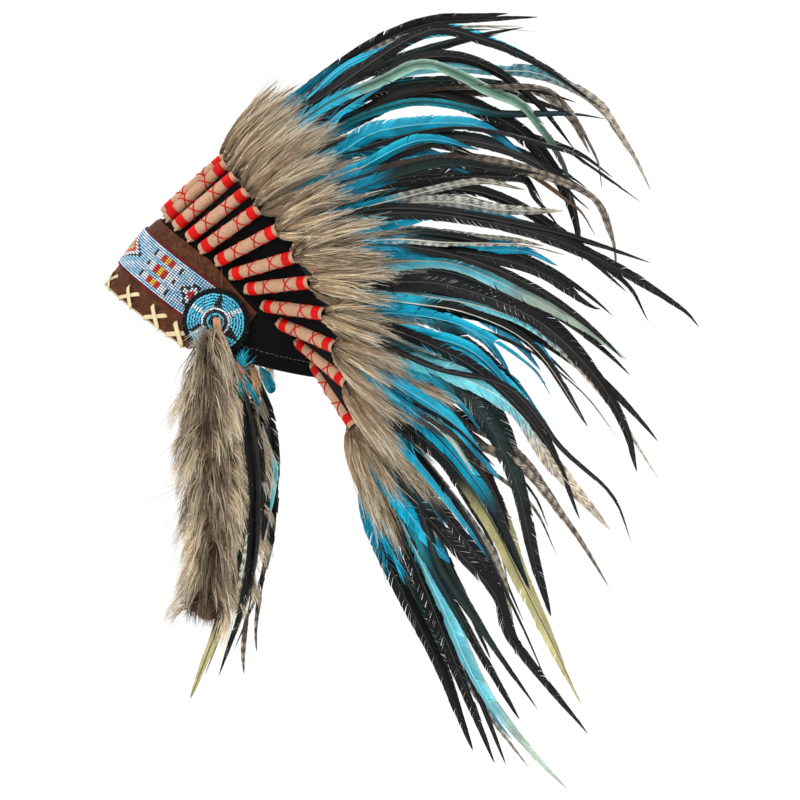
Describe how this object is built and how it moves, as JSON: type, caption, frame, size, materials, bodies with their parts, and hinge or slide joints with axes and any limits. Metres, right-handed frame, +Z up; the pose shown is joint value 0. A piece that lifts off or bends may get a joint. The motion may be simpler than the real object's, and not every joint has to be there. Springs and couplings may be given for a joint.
{
  "type": "feathered headdress",
  "caption": "Worn headdress: felt cap, laced brow band with beadwork, bound tubes, fur and long swept feathers, and a side drop at each temple.",
  "frame": {"origin": "middle of the head opening, on the plane of the brow band's lower edge, where a head holds it", "axes": "the wearer faces -Y, the wearer's left is +X, up is +Z; the side drops hang along -Z"},
  "size_m": [0.6204, 0.5164, 0.6993],
  "materials": {
    "felt_black": "black felt",
    "suede_brown": "brown suede",
    "bead_blue": "pale blue and white seed beads",
    "rosette_blue": "turquoise seed beads on black felt",
    "wrap_tan": "tan felt bound with red thread",
    "feather_blue": "dyed cock feathers in turquoise and black with beige fur at the base",
    "fur_beige": "beige and grey fur"
  },
  "bodies": {
    "root": {"cap": "felt_black", "brow_band": "suede_brown", "bead_strip": "bead_blue", "rosette_left": "rosette_blue", "drop_left": "fur_beige", "rosette_right": "rosette_blue", "drop_right": "fur_beige", "wrap_01": "wrap_tan", "plume_01": "feather_blue", "wrap_02": "wrap_tan", "plume_02": "feather_blue", "wrap_03": "wrap_tan", "plume_03": "feather_blue", "wrap_04": "wrap_tan", "plume_04": "feather_blue", "wrap_05": "wrap_tan", "plume_05": "feather_blue", "wrap_06": "wrap_tan", "plume_06": "feather_blue", "wrap_07": "wrap_tan", "plume_07": "feather_blue", "wrap_08": "wrap_tan", "plume_08": "feather_blue", "wrap_09": "wrap_tan", "plume_09": "feather_blue", "wrap_10": "wrap_tan", "plume_10": "feather_blue", "wrap_11": "wrap_tan", "plume_11": "feather_blue", "wrap_12": "wrap_tan", "plume_12": "feather_blue", "wrap_13": "wrap_tan", "plume_13": "feather_blue", "wrap_14": "wrap_tan", "plume_14": "feather_blue", "wrap_15": "wrap_tan", "plume_15": "feather_blue", "wrap_16": "wrap_tan", "plume_16": "feather_blue", "wrap_17": "wrap_tan", "plume_17": "feather_blue", "wrap_18": "wrap_tan", "plume_18": "feather_blue", "wrap_19": "wrap_tan", "plume_19": "feather_blue", "wrap_20": "wrap_tan", "plume_20": "feather_blue", "wrap_21": "wrap_tan", "plume_21": "feather_blue", "wrap_22": "wrap_tan", "plume_22": "feather_blue", "wrap_23": "wrap_tan", "plume_23": "feather_blue", "wrap_24": "wrap_tan", "plume_24": "feather_blue", "wrap_25": "wrap_tan", "plume_25": "feather_blue", "wrap_26": "wrap_tan", "plume_26": "feather_blue"}
  },
  "joints": []
}
